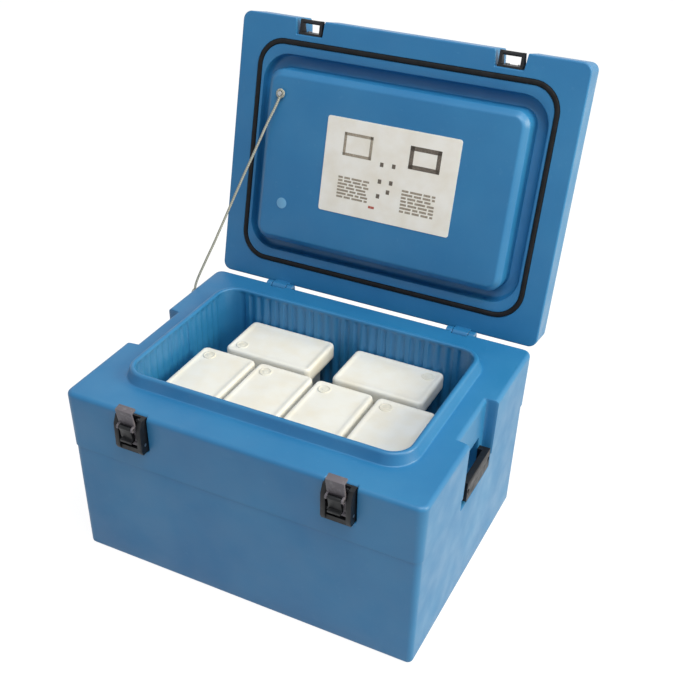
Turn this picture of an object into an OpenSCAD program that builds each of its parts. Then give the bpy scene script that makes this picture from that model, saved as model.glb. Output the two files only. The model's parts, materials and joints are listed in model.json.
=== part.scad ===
// Insulated specimen transport box with a hinged lid, two draw latches and water packs.
// The box stands on z = 0 with its front towards -Y. The lid is drawn open, on its stay.

/* [Body] */
// Width of the body at the rim
body_w = 710; // [660:1:780]
// Depth of the body at the rim, front to back
body_d = 537; // [480:1:600]
// Height of the rim above the ground
body_h = 366; // [340:1:420]
// Radius of the upright corners
corner_r = 18; // [12:1:28]
// Height of the moulded line that goes round the body
line_z = 246; // [215:1:275]
// How far the lower band stands back from the upper one
line_step = 2; // [1:0.5:4]
// How far each band draws in towards its foot
band_draft = 2.5; // [1:0.5:4]
// Radius of the long top and bottom edges
edge_r = 8; // [5:1:12]
// Thickness of the moulded skin
skin = 5; // [4:0.5:6]
// Diameter of the foam filling hole in the base
fill_d = 40; // [30:1:60]

/* [Cavity] */
// Width of the cavity
cavity_w = 552; // [540:1:580]
// Depth of the cavity, front to back
cavity_d = 356; // [348:1:380]
// Thickness of the floor with its insulation
floor_t = 98; // [60:1:98]
// Radius of the cavity's upright corners
cavity_r = 36; // [28:1:44]
// Height of the lip round the mouth above the rim
lip_h = 22; // [16:1:24]
// Width of the crest of the lip
lip_crest = 8; // [6:1:10]
// Width of the lip at its foot
lip_foot = 17; // [14:1:18]
// Distance between the upright flutes in the walls
flute_pitch = 20; // [16:1:26]
// Depth of a flute
flute_deep = 3; // [2:0.5:3.5]

/* [Lid] */
// Thickness of the lid over its flange
lid_t = 75; // [68:1:90]
// Gap between the rim and the flange of the closed lid
lid_gap = 2.5; // [2:0.5:4]
// How far the plug reaches below the rim when the lid is closed
plug_deep = 30; // [20:1:36]
// Clearance between the plug and the cavity wall
plug_clear = 6; // [5:0.5:10]
// Bevel round the plug
plug_bevel = 12; // [6:1:16]
// Inset of the gasket's centre line from the lid's edge
gasket_in = 47; // [46:0.5:49]
// Width of the gasket
gasket_w = 13; // [9:0.5:13]
// Depth of the gasket's groove
gasket_deep = 5; // [4:0.5:6]
// Angle that the lid opens to on its stay
open_angle = 103; // [95:1:110]
// Width of the instruction card
card_w = 280; // [200:1:300]
// Height of the instruction card
card_h = 187; // [140:1:200]
// How far the card stands to the right of the lid's middle
card_x = 12; // [0:1:20]
// How far the card stands in front of the lid's middle
card_y = 9; // [0:1:14]

/* [Hinges and latches] */
// Distance of the hinges and latches from the middle
side_x = 205; // [185:1:225]
// Width of a hinge
hinge_w = 60; // [52:1:70]
// How far the hinge axis lies behind the rear wall
hinge_out = 5.5; // [5:0.5:8]
// How far the hinge axis lies below the rim
hinge_down = 9.5; // [9.5:0.5:14]
// Radius of the hinge knuckles
knuckle_r = 11; // [9:0.5:11]
// Radius of the hinge pins
hinge_pin_r = 4; // [3:0.5:5]
// Width of the latch notches in the lid
notch_w = 60; // [56:1:66]
// Depth of the latch notches in the lid
notch_deep = 30; // [28:1:32]
// Width of a latch base
latch_w = 56; // [52:1:58]
// Width of the draw hook
hook_w = 34; // [28:1:36]
// Thickness of the hook plate
hook_t = 4; // [3:0.5:4.5]
// Angle that the released hook leans out
hook_lean = 12; // [10:1:15]
// Radius of the pins in the latches
latch_pin_r = 3; // [2:0.25:3.5]

/* [Grips] */
// Width of the hand recess
recess_w = 144; // [130:1:160]
// Depth of the hand recess at the rim
recess_deep = 22; // [18:1:26]
// Height of the foot of the hand recess
recess_z = 218; // [205:1:230]
// Length of the grip between its feet
grip_l = 92; // [84:1:98]
// Height of the grip
grip_h = 42; // [30:1:46]
// Depth of the finger room behind the recess
finger_deep = 24; // [20:1:28]

/* [Water packs] */
// Length of a pack
pack_l = 190; // [180:1:190]
// Width of a pack
pack_w = 120; // [110:1:120]
// Thickness of a pack
pack_t = 34; // [28:1:34]

/* [Hidden] */
$fn = 48;
hull_fn = 24;
eps = 0.01;
seat_gap = 0.3;
foam_fit = 0.2;
pin_fit = 0.05;

// Body levels and planes
front_y = -body_d / 2;
lip_top = body_h + lip_h;
plinth = line_step + band_draft;
latch_seat_y = front_y + 6.5;

// Lid levels, with the lid closed
flange_z = body_h + lid_gap;
lid_top = flange_z + lid_t;
channel_top = lip_top + 4;
channel_out = lip_foot + 3.5;
plug_z = body_h - plug_deep;
plug_w = cavity_w - 2 * plug_clear;
plug_d = cavity_d - 2 * plug_clear;
gasket_roof = flange_z + gasket_deep;
gasket_r = 52;
rim_ease = 2;
lid_ease = 3;
crown_z = 12;
crown_in = 14;
crown_knee = [4, 6];
card_t = 1;
vent = [-212, 90];
vent_r = 9;
vent_lip = 0.8;

// Hinge axis, and the room that the lid's knuckle turns in
axis_y = body_d / 2 + hinge_out;
axis_z = body_h - hinge_down;
knuckle_gap = 1;
ear_w = 13;
knuckle_w = hinge_w - 2 * ear_w - 2 * knuckle_gap;
turn_gap = 2.5;
root_top = flange_z + 26;

// Latch, with its hook upright
latch_top = body_h - 1;
latch_foot = body_h - 72;
back_t = 5;
cheek_t = 9;
cheek_out = 24;
hook_y = latch_seat_y - back_t - 7;
hook_z = latch_foot + 18;
knuckle_hook_r = 6;
bar_z = flange_z + 9.5;
bar_r = 4;
bar_y = hook_y + hook_t / 2 + bar_r + 4.5;
hook_top = bar_z + bar_r + 6.5;
lever_z = hook_z + 40;
lever_t = 7;
lever_y = hook_y - hook_t / 2 - 1.5 - lever_t / 2;
lever_l = 30;
lever_lip = 6;
lever_pin_r = latch_pin_r - 0.5;
hook_half_gap = 1;
hook_lug = 4;
screw_r = 2.1;
head_r = 4;
head_t = 2;
screw_x = 12;
screw_levels = [latch_foot + 34, latch_top - 9];
latch_side_gap = 1;
latch_foot_gap = 2;
cheek_nose = 8;
cheek_foot = 10;
keeper_y = front_y + notch_deep;
keeper_w = 48;
keeper_t = 4;
keeper_ear = 6;
keeper_screw_z = flange_z + 27;

// Grips
grip_t = 12;
grip_foot = 12;
grip_x = body_w / 2 - 1;
grip_z = recess_z + 10;
recess_x = body_w / 2 - recess_deep;
finger_x = recess_x - finger_deep;
finger_up = 24;
grip_screw_z = grip_z + grip_h / 2;
grip_bite = 16;
grip_screw_l = grip_x - 4 - recess_x + grip_bite - 1;
counterbore_r = 4.6;

// Water packs: the upright ones stand on the floor and carry the flat ones
pack_r = 12;
cap_r = 13;
cap_t = 5;
cap_in = 26;
pack_edge = 4;
cap_fit = 0.1;
upright_z = floor_t + seat_gap;
flat_z = upright_z + pack_l + seat_gap;
pack_gap = 4;
wall_gap = 1;
back_row_y = cavity_d / 2 - wall_gap - pack_w / 2;
back_half_gap = 24;
row_gap = 12;
back_row_x = back_half_gap + pack_l / 2;
front_row_y = back_row_y - pack_w / 2 - row_gap - pack_l / 2;
front_pitch = pack_w + 2 * pack_gap;
bearing = 12;

// Rows of upright packs: two under the front row of flat packs and two under the back row
front_rows = [front_row_y - pack_l / 2 + pack_edge + bearing - pack_t / 2,
  front_row_y + pack_l / 2 - pack_t / 2];
back_rows = [back_row_y - pack_w / 2 + pack_t / 2, back_row_y + pack_w / 2 - pack_t / 2];

// Stay cord, from the anchor on the left side up to the anchor in the lid
cord_r = 2.5;
anchor_y = 180;
anchor_z = body_h - 18;
lid_anchor = [-236, -126];
saddle_r = 8;
saddle_t = 4.2;
post_r = 4.5;
post_l = 8;
cord_route = [[-361, 180, 350], [-360.6, 181, 358], [-360, 183, 366], [-357, 186.5, 378],
  [-352, 190, 392], [-346, 197.4, 410], [-340, 205, 428], [-331, 216, 454], [-322.5, 227, 481],
  [-314, 238, 508], [-305.5, 249, 535], [-297, 260, 562], [-288.5, 271, 589], [-279.5, 282, 616],
  [-271, 293, 642], [-262, 304, 669], [-253.5, 315.5, 696], [-243, 328.5, 725], [-236, 337.7, 747.1]];

// Plain rounded rectangle, centred
module rrect(w, d, r) {
  square([w - 2 * r, d], center = true);
  square([w, d - 2 * r], center = true);
  for (x = [-1, 1], y = [-1, 1])
    translate([x * (w / 2 - r), y * (d / 2 - r)]) circle(r);
}

// Straight block on a rounded rectangle between two heights
module block(w, d, r, z0, z1) {
  translate([0, 0, z0]) linear_extrude(z1 - z0) rrect(w, d, r);
}

// Smooth block through levels, each one [height, inset from the given outline]
module drawn_block(w, d, r, levels) {
  hull()
    for (l = levels)
      translate([0, 0, l[0]]) linear_extrude(eps)
        rrect(w - 2 * l[1], d - 2 * l[1], max(2, r - l[1]), $fn = hull_fn);
}

// Box given by its low and high corners
module span(a, b) {
  translate(a) cube([b[0] - a[0], b[1] - a[1], b[2] - a[2]]);
}

// Profile in Y and Z carried along X, centred on x
module along_x(x, w) {
  translate([x - w / 2, 0, 0]) rotate([90, 0, 90]) linear_extrude(w) children();
}

// Cylinder along X, centred
module rod_x(x, y, z, r, w) {
  translate([x - w / 2, y, z]) rotate([0, 90, 0]) cylinder(r = r, h = w);
}

// Puts what is drawn for the closed lid where the open lid is
module opened() {
  translate([0, axis_y, axis_z]) rotate([-open_angle, 0, 0]) translate([0, -axis_y, -axis_z]) children();
}

// Puts what is drawn for the upright hook where the released hook is
module released() {
  translate([0, hook_y, hook_z]) rotate([hook_lean, 0, 0]) translate([0, -hook_y, -hook_z]) children();
}

// Upper and lower band of the body, grown inwards by t
module bands(t) {
  drawn_block(body_w, body_d, corner_r, [[line_z, band_draft + t], [body_h - edge_r, t],
    [body_h - 0.3 * edge_r - (t > 0 ? t - 2 : 0), 0.3 * edge_r + t], [body_h - eps - t, edge_r + t]]);
  drawn_block(body_w, body_d, corner_r, [[t, edge_r + plinth + band_draft + t],
    [0.3 * edge_r + (t > 0 ? t - 2 : 0), 0.3 * edge_r + plinth + band_draft + t],
    [edge_r + t, plinth + band_draft + t], [line_z + 1, plinth + t]]);
}

// Room that a hand recess takes on the side s, grown by t
module recess_room(s, t) {
  mirror([s < 0 ? 1 : 0, 0, 0]) {
    span([recess_x - t, -recess_w / 2 - t, recess_z - t], [body_w, recess_w / 2 + t, body_h + 1]);
    span([finger_x - t, -grip_l / 2 - t, recess_z - t],
      [body_w, grip_l / 2 + t, grip_z + grip_h + finger_up + t]);
  }
}

// Seat of a latch in the front, grown by t
module latch_seat(x, t) {
  half = latch_w / 2 + latch_side_gap + t;
  span([x - half, front_y - 20, latch_foot - latch_foot_gap - t], [x + half, latch_seat_y + t, body_h + 1]);
}

// Room in the rear wall round the knuckle of a hinge, grown by t
module knuckle_room(x, t) {
  half = knuckle_w / 2 + knuckle_gap + t;
  span([x - half, axis_y - knuckle_r - turn_gap - t, axis_z - knuckle_r - turn_gap - t],
    [x + half, body_d, body_h + 1]);
}

// Outline of the cavity with its flutes
module cavity_outline() {
  rrect(cavity_w, cavity_d, cavity_r);
  nx = floor((cavity_w - 2 * cavity_r) / flute_pitch / 2);
  ny = floor((cavity_d - 2 * cavity_r) / flute_pitch / 2);
  bite = flute_pitch * 0.3;
  for (i = [-nx:nx], s = [-1, 1])
    translate([i * flute_pitch, s * (cavity_d / 2 + flute_deep - bite)]) circle(bite, $fn = 24);
  for (i = [-ny:ny], s = [-1, 1])
    translate([s * (cavity_w / 2 + flute_deep - bite), i * flute_pitch]) circle(bite, $fn = 24);
}

// Insulation space inside the body skin, t in from every outer face
module body_space(t) {
  wall = t + flute_deep;
  difference() {
    bands(t);
    block(cavity_w + 2 * wall, cavity_d + 2 * wall, cavity_r + wall, floor_t - t, body_h);
    for (s = [-1, 1]) {
      recess_room(s, t);
      latch_seat(s * side_x, t);
      knuckle_room(s * side_x, t);
    }
    translate([side_x, 0, -1]) cylinder(d = fill_d + 2 * t, h = t + 7);
  }
}

module ear_profile() {
  translate([axis_y, axis_z]) circle(knuckle_r);
  polygon([[axis_y - knuckle_r, axis_z], [axis_y + knuckle_r, axis_z], [axis_y + knuckle_r, axis_z - 8],
    [axis_y - knuckle_r, axis_z - 34]]);
}

// Two ears of each hinge, moulded on the rear of the rim
module hinge_ears() {
  for (s = [-1, 1], e = [-1, 1])
    along_x(s * side_x + e * (hinge_w - ear_w) / 2, ear_w) ear_profile();
}

function screw_spots() = [for (s = [-1, 1], x = [-screw_x, screw_x], z = screw_levels) [s * side_x + x, z]];
function grip_spots() = [for (s = [-1, 1], y = [-1, 1]) [s, y * (grip_l + grip_foot) / 2]];

module body_shell() {
  color("#3E7FB0") difference() {
    union() {
      bands(0);
      difference() {
        drawn_block(cavity_w, cavity_d, cavity_r, [[body_h - 1, -lip_foot], [body_h, -lip_foot],
          [lip_top - 1.5 * rim_ease, -lip_crest - rim_ease], [lip_top - eps, -lip_crest + rim_ease]]);
        for (s = [-1, 1]) recess_room(s, 0);
      }
      hinge_ears();
    }
    translate([0, 0, floor_t]) linear_extrude(lip_top) cavity_outline();
    for (s = [-1, 1]) {
      recess_room(s, 0);
      latch_seat(s * side_x, 0);
      knuckle_room(s * side_x, 0);
      rod_x(s * side_x, axis_y, axis_z, hinge_pin_r + pin_fit, hinge_w + 2);
    }
    difference() {
      body_space(skin);
      hinge_ears();
    }
    for (p = screw_spots())
      translate([p[0], latch_seat_y - 1, p[1]]) rotate([-90, 0, 0])
        cylinder(r = screw_r + pin_fit, h = skin + 2);
    for (p = grip_spots())
      rod_x(p[0] * (recess_x - grip_bite / 2), p[1], grip_screw_z, screw_r + pin_fit, grip_bite + 2);
    rod_x(-body_w / 2 + skin / 2, anchor_y, anchor_z, screw_r + pin_fit, skin + 4);
    translate([side_x, 0, -1]) cylinder(d = fill_d + 0.2, h = skin + 7);
  }
}

module body_foam() {
  color("#E8DFA8") difference() {
    body_space(skin + foam_fit);
    hinge_ears();
    for (p = screw_spots())
      translate([p[0], latch_seat_y, p[1]]) rotate([-90, 0, 0]) cylinder(r = screw_r + seat_gap, h = 22);
    for (p = grip_spots())
      rod_x(p[0] * recess_x, p[1], grip_screw_z, screw_r + seat_gap, 46);
    rod_x(-body_w / 2, anchor_y, anchor_z, screw_r + seat_gap, 46);
  }
}

// Plug in the foam filling hole of the base
module base_plug() {
  color("#2F6A9A") translate([side_x, 0, 0.5]) {
    cylinder(d = fill_d, h = skin);
    translate([0, 0, skin]) cylinder(d = fill_d - 8, h = 3);
  }
}

// Pack lying flat with its centre at the origin's xy and its foot at z = 0
module flat_pack() {
  difference() {
    drawn_block(pack_l, pack_w, pack_r, [[0, pack_edge], [pack_edge, 0], [pack_t - pack_edge, 0],
      [pack_t - eps, pack_edge]]);
    translate([pack_l / 2 - cap_in, pack_w / 2 - cap_in, pack_t - cap_t])
      cylinder(r = cap_r + cap_fit, h = cap_t + 1);
  }
}

module flat_cap() {
  translate([pack_l / 2 - cap_in, pack_w / 2 - cap_in, pack_t - cap_t]) difference() {
    cylinder(r = cap_r, h = cap_t);
    translate([-cap_r, -1.5, cap_t - 1.5]) cube([2 * cap_r, 3, 2]);
  }
}

// Where the packs stand upright: each flat pack lies on two of them
function upright_spots() = concat(
  [for (i = [-1.5, -0.5, 0.5, 1.5], y = front_rows) [i * front_pitch, y, upright_z]],
  [for (s = [-1, 1], y = back_rows) [s * back_row_x, y, upright_z]]);

module upright_pack() {
  difference() {
    translate([0, pack_t / 2, pack_l / 2]) rotate([90, 0, 0])
      linear_extrude(pack_t) rrect(pack_w, pack_l, pack_r);
    translate([0, -pack_t / 2 - 1, pack_l - cap_in]) rotate([-90, 0, 0])
      cylinder(r = cap_r + cap_fit, h = cap_t + 1);
  }
}

module upright_packs() {
  color("#E8E8E2") for (p = upright_spots()) translate(p) upright_pack();
}

module upright_caps() {
  color("#DADAD2") for (p = upright_spots())
    translate(p + [0, -pack_t / 2, pack_l - cap_in]) rotate([-90, 0, 0]) cylinder(r = cap_r, h = cap_t);
}

module back_spot(s) {
  translate([s * back_row_x, back_row_y, flat_z]) rotate([0, 0, s > 0 ? 0 : 180]) children();
}

module front_spot(i) {
  translate([(i - 2.5) * front_pitch, front_row_y, flat_z]) rotate([0, 0, 90]) children();
}

module back_pack(s) { color("#E8E8E2") back_spot(s) flat_pack(); }
module back_cap(s) { color("#DADAD2") back_spot(s) flat_cap(); }
module front_pack(i) { color("#E8E8E2") front_spot(i) flat_pack(); }
module front_cap(i) { color("#DADAD2") front_spot(i) flat_cap(); }

// Hand grip: a bar on two feet in front of the finger room
module grip(s) {
  feet = grip_l + 2 * grip_foot;
  color("#15171C") mirror([s < 0 ? 1 : 0, 0, 0]) difference() {
    union() {
      span([grip_x - grip_t, -feet / 2, grip_z], [grip_x, feet / 2, grip_z + grip_h]);
      for (y = [-1, 1])
        translate([recess_x, y * (grip_l + grip_foot) / 2 - grip_foot / 2, grip_z])
          cube([grip_x - recess_x, grip_foot, grip_h]);
    }
    for (y = [-1, 1]) {
      rod_x(recess_x, y * (grip_l + grip_foot) / 2, grip_screw_z, screw_r + pin_fit, 60);
      rod_x(grip_x, y * (grip_l + grip_foot) / 2, grip_screw_z, counterbore_r, 8);
    }
  }
}

module grip_screws() {
  color("#8A8F94") for (p = grip_spots()) mirror([p[0] < 0 ? 1 : 0, 0, 0])
    translate([grip_x - 4, p[1], grip_screw_z]) rotate([0, 90, 0]) {
      cylinder(r = head_r, h = head_t);
      translate([0, 0, -grip_screw_l]) cylinder(r = screw_r, h = grip_screw_l);
    }
}

// Latch base: back plate, two cheeks and a foot bar
module latch_base(s) {
  color("#15171C") translate([s * side_x, 0, 0]) difference() {
    union() {
      span([-latch_w / 2, latch_seat_y - back_t, latch_foot], [latch_w / 2, latch_seat_y, latch_top]);
      for (e = [-1, 1])
        along_x(e * (latch_w - cheek_t) / 2, cheek_t)
          polygon([[latch_seat_y - 1, latch_foot], [latch_seat_y - cheek_out + cheek_nose / 2, latch_foot],
            [latch_seat_y - cheek_out, latch_foot + cheek_nose],
            [latch_seat_y - cheek_out, latch_top - 2 * cheek_nose],
            [latch_seat_y - cheek_out + cheek_nose, latch_top], [latch_seat_y - 1, latch_top]]);
      span([-latch_w / 2, latch_seat_y - cheek_out + cheek_nose / 2, latch_foot],
        [latch_w / 2, latch_seat_y - 1, latch_foot + cheek_foot]);
    }
    rod_x(0, hook_y, hook_z, latch_pin_r + pin_fit, latch_w + 2);
    for (x = [-screw_x, screw_x], z = screw_levels)
      translate([x, latch_seat_y - back_t - 1, z]) rotate([-90, 0, 0])
        cylinder(r = screw_r + pin_fit, h = back_t + 2);
  }
}

module latch_screws() {
  color("#9AA0A6") for (p = screw_spots())
    translate([p[0], latch_seat_y - back_t, p[1]]) rotate([-90, 0, 0]) {
      translate([0, 0, -head_t]) cylinder(r = head_r, h = head_t);
      cylinder(r = screw_r, h = 20);
    }
}

module hook_pins() {
  color("#9AA0A6") for (s = [-1, 1]) rod_x(s * side_x, hook_y, hook_z, latch_pin_r, latch_w);
}

// Draw hook: a plate on a barrel, with two lugs for the lever and a lip that goes over the keeper
module latch_hook(s) {
  w = hook_w;
  color("#9C9C98") released() translate([s * side_x, 0, 0]) difference() {
    union() {
      rod_x(0, hook_y, hook_z, knuckle_hook_r, w);
      span([-w / 2, hook_y - hook_t / 2, hook_z], [w / 2, hook_y + hook_t / 2, hook_top]);
      span([-w / 2, hook_y - hook_t / 2, hook_top - 5], [w / 2, bar_y + 2, hook_top]);
      for (e = [-1, 1])
        along_x(e * (w - hook_lug) / 2, hook_lug) {
          translate([lever_y, lever_z]) circle(lever_t / 2 + 1.5);
          translate([lever_y, lever_z - 5]) square([hook_y - lever_y, 10]);
        }
    }
    rod_x(0, hook_y, hook_z, latch_pin_r + pin_fit, w + 2);
    rod_x(0, lever_y, lever_z, lever_pin_r + pin_fit, w + 2);
  }
}

module lever_pin(s) {
  color("#9AA0A6") released() rod_x(s * side_x, lever_y, lever_z, lever_pin_r, hook_w);
}

// Lever: a flat handle on a barrel with a finger lip at its foot
module latch_lever(s) {
  w = hook_w - 2 * hook_lug - 2 * hook_half_gap;
  color("#15171C") released() translate([s * side_x, 0, 0]) difference() {
    union() {
      rod_x(0, lever_y, lever_z, lever_t / 2 + 1, w);
      span([-w / 2, lever_y - lever_t / 2, lever_z - lever_l], [w / 2, lever_y + lever_t / 2, lever_z]);
      span([-w / 2, lever_y - lever_t / 2 - lever_lip, lever_z - lever_l],
        [w / 2, lever_y, lever_z - lever_l + 5]);
    }
    rod_x(0, lever_y, lever_z, lever_pin_r + pin_fit, w + 2);
  }
}

// Keeper: a black bracket in the notch of the lid with a bar that the hook draws down
module keeper(s) {
  color("#15171C") opened() translate([s * side_x, 0, 0]) difference() {
    union() {
      span([-keeper_w / 2, keeper_y - keeper_t, flange_z + 2], [keeper_w / 2, keeper_y, keeper_screw_z + 9]);
      for (e = [-1, 1])
        along_x(e * (keeper_w - keeper_ear) / 2, keeper_ear)
          polygon([[bar_y - bar_r, bar_z - bar_r], [keeper_y - 1, bar_z - bar_r],
            [keeper_y - 1, bar_z + bar_r + 12], [bar_y - bar_r, bar_z + bar_r]]);
      rod_x(0, bar_y, bar_z, bar_r, keeper_w - keeper_ear);
    }
    for (x = [-screw_x, screw_x])
      translate([x, keeper_y - keeper_t - 1, keeper_screw_z]) rotate([-90, 0, 0])
        cylinder(r = screw_r + pin_fit, h = keeper_t + 2);
  }
}

module keeper_screws() {
  color("#9AA0A6") opened() for (s = [-1, 1], x = [-screw_x, screw_x])
    translate([s * side_x + x, keeper_y - keeper_t, keeper_screw_z]) rotate([-90, 0, 0]) {
      translate([0, 0, -head_t]) cylinder(r = head_r, h = head_t);
      cylinder(r = screw_r, h = 18);
    }
}

module hinge_pins() {
  color("#A9AEB2") for (s = [-1, 1]) rod_x(s * side_x, axis_y, axis_z, hinge_pin_r, hinge_w);
}

// Room round the lip of the body, and everything inside it, grown by t
module channel_block(t) {
  out = 2 * (channel_out + t);
  block(cavity_w + out, cavity_d + out, cavity_r + channel_out + t, flange_z - 1, channel_top + t);
}

// Insulation space inside the lid skin, t in from every face
module lid_space(t) {
  in = 2 * (t + plug_bevel);
  difference() {
    drawn_block(body_w, body_d, corner_r, [[gasket_roof + t, t], [lid_top - crown_z, t + rim_ease],
      [lid_top - crown_knee[0] - t, t + crown_knee[1]], [lid_top - t, t + crown_in]]);
    channel_block(t);
    for (s = [-1, 1])
      span([s * side_x - notch_w / 2 - t, front_y - 1, flange_z],
        [s * side_x + notch_w / 2 + t, front_y + notch_deep + t, lid_top]);
  }
  block(plug_w - in, plug_d - in, cavity_r - 20, plug_z + t, channel_top + t + 3);
}

module knuckle_profile() {
  translate([axis_y, axis_z]) circle(knuckle_r);
  polygon([[axis_y - knuckle_r, axis_z], [axis_y + knuckle_r, axis_z], [axis_y + knuckle_r, flange_z],
    [body_d / 2 - 1, root_top], [axis_y - knuckle_r, root_top]]);
}

module lid_shell() {
  color("#3E7FB0") opened() difference() {
    union() {
      difference() {
        drawn_block(body_w, body_d, corner_r, [[flange_z, rim_ease], [flange_z + lid_ease, 0],
          [lid_top - crown_z, rim_ease], [lid_top - crown_knee[0], crown_knee[1]],
          [lid_top - eps, crown_in]]);
        channel_block(0);
        for (s = [-1, 1])
          span([s * side_x - notch_w / 2, front_y - 1, flange_z - 1],
            [s * side_x + notch_w / 2, front_y + notch_deep, lid_top + 1]);
      }
      block(plug_w, plug_d, cavity_r - plug_clear, plug_z + plug_bevel, channel_top + 3);
      drawn_block(plug_w, plug_d, cavity_r - plug_clear, [[plug_z, plug_bevel],
        [plug_z + 3, plug_bevel * 0.5], [plug_z + plug_bevel, 0], [plug_z + plug_bevel + 1, 0.5]]);
      for (s = [-1, 1]) along_x(s * side_x, knuckle_w) knuckle_profile();
    }
    gasket_ring(flange_z - 1, gasket_roof, 0);
    lid_space(skin);
    for (s = [-1, 1]) {
      rod_x(s * side_x, axis_y, axis_z, hinge_pin_r + pin_fit, hinge_w);
      for (x = [-screw_x, screw_x])
        translate([s * side_x + x, keeper_y - 1, keeper_screw_z]) rotate([-90, 0, 0])
          cylinder(r = screw_r + pin_fit, h = skin + 2);
    }
    translate([vent[0], vent[1], plug_z - 1]) cylinder(r = vent_r + cap_fit, h = skin + 3);
  }
}

// Ring that the gasket fills, between two heights
module gasket_ring(z0, z1, slack) {
  w = body_w - 2 * gasket_in;
  d = body_d - 2 * gasket_in;
  h = gasket_w / 2 - slack;
  difference() {
    block(w + 2 * h, d + 2 * h, gasket_r + h, z0, z1);
    block(w - 2 * h, d - 2 * h, gasket_r - h, z0 - 1, z1 + 1);
  }
}

module gasket() {
  color("#101216") opened() gasket_ring(body_h + seat_gap, gasket_roof, 0);
}

module lid_foam() {
  color("#E8DFA8") opened() difference() {
    lid_space(skin + foam_fit);
    for (s = [-1, 1], x = [-screw_x, screw_x])
      translate([s * side_x + x, keeper_y, keeper_screw_z]) rotate([-90, 0, 0])
        cylinder(r = screw_r + seat_gap, h = 20);
  }
}

// Plug in the foam filling hole of the lid's inner face
module lid_plug() {
  color("#5C9FD0") opened() translate([vent[0], vent[1], plug_z - vent_lip]) {
    cylinder(r = vent_r, h = skin + vent_lip);
    cylinder(r = vent_r + 2, h = vent_lip);
  }
}

module card() {
  color("#E9E4D6") opened() translate([card_x, -card_y, 0])
    block(card_w, card_h, 3, plug_z - card_t, plug_z);
}

// Small saddle that holds the cord to the body's left side
module stay_anchor_body() {
  color("#2A2C30") {
    translate([-body_w / 2 - seat_gap - saddle_t, anchor_y, anchor_z]) rotate([0, 90, 0])
      cylinder(r = saddle_r, h = saddle_t);
    translate([-body_w / 2 - saddle_t - post_l + 0.2, anchor_y, anchor_z]) rotate([0, 90, 0])
      cylinder(r = post_r, h = post_l);
    rod_x(-body_w / 2 + 5, anchor_y, anchor_z, screw_r, 16);
  }
}

module stay_anchor_lid() {
  color("#B9BEC4") opened() translate([lid_anchor[0], lid_anchor[1], plug_z]) {
    translate([0, 0, -head_t]) cylinder(r = saddle_r, h = head_t);
    translate([0, 0, -post_l - 1]) cylinder(r = post_r, h = post_l);
  }
}

// Tube of n sides swept along the route, with rings that turn with its direction
function unit(v) = v / norm(v);
function heading(i) = let (n = len(cord_route) - 1)
  unit(cord_route[min(i + 1, n)] - cord_route[max(i - 1, 0)]);
function ring(i, n) = let (t = heading(i), a = unit(cross(t, [0, -1, 0.2])), b = cross(t, a))
  [for (k = [0:n - 1]) cord_route[i] + cord_r * (cos(360 * k / n) * a + sin(360 * k / n) * b)];

module stay_cord() {
  n = 8;
  m = len(cord_route);
  points = [for (i = [0:m - 1]) each ring(i, n)];
  sides = [for (i = [0:m - 2], k = [0:n - 1])
    [i * n + k, i * n + (k + 1) % n, (i + 1) * n + (k + 1) % n, (i + 1) * n + k]];
  ends = [[for (k = [n - 1:-1:0]) k], [for (k = [0:n - 1]) (m - 1) * n + k]];
  color("#B9AE9A") polyhedron(points, concat(sides, ends));
}

body_shell();
body_foam();
base_plug();
upright_packs();
upright_caps();
grip(-1);  // grip_left
grip(1);  // grip_right
grip_screws();
latch_base(-1);  // latch_base_left
latch_base(1);  // latch_base_right
latch_screws();
hook_pins();
latch_hook(-1);  // latch_hook_left
latch_hook(1);  // latch_hook_right
lever_pin(-1);  // lever_pin_left
lever_pin(1);  // lever_pin_right
latch_lever(-1);  // latch_lever_left
latch_lever(1);  // latch_lever_right
hinge_pins();
stay_anchor_body();
stay_anchor_lid();
stay_cord();
lid_shell();
lid_foam();
lid_plug();
gasket();
card();
keeper(-1);  // keeper_left
keeper(1);  // keeper_right
keeper_screws();
back_pack(-1);  // pack_back_left
back_pack(1);  // pack_back_right
front_pack(1);  // pack_front_1
front_pack(2);  // pack_front_2
front_pack(3);  // pack_front_3
front_pack(4);  // pack_front_4
back_cap(-1);  // cap_back_left
back_cap(1);  // cap_back_right
front_cap(1);  // cap_front_1
front_cap(2);  // cap_front_2
front_cap(3);  // cap_front_3
front_cap(4);  // cap_front_4
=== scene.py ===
"""Looks of an insulated specimen transport box: skins, seal, water packs, latches, grips and stay cord."""
import json
import math
import bmesh
import bpy
import numpy as np
from mathutils import Matrix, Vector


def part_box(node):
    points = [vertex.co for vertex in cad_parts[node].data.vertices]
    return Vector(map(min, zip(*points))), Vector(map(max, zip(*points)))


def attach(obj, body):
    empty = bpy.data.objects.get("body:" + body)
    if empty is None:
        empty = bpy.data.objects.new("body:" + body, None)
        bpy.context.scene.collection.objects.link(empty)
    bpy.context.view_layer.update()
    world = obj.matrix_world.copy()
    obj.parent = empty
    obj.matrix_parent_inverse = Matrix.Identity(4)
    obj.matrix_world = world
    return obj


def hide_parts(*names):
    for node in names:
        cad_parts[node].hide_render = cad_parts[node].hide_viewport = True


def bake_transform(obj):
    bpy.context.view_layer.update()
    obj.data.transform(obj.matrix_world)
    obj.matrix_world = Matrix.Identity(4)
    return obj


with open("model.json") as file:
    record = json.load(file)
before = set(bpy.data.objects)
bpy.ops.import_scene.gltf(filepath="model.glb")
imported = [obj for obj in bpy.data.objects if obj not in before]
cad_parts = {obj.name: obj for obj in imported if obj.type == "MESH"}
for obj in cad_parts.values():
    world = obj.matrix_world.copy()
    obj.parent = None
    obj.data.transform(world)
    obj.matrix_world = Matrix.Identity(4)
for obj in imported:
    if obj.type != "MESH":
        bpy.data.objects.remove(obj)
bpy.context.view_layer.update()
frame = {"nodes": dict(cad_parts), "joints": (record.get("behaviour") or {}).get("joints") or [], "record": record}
record = frame["record"]
MM = 0.001
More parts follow.
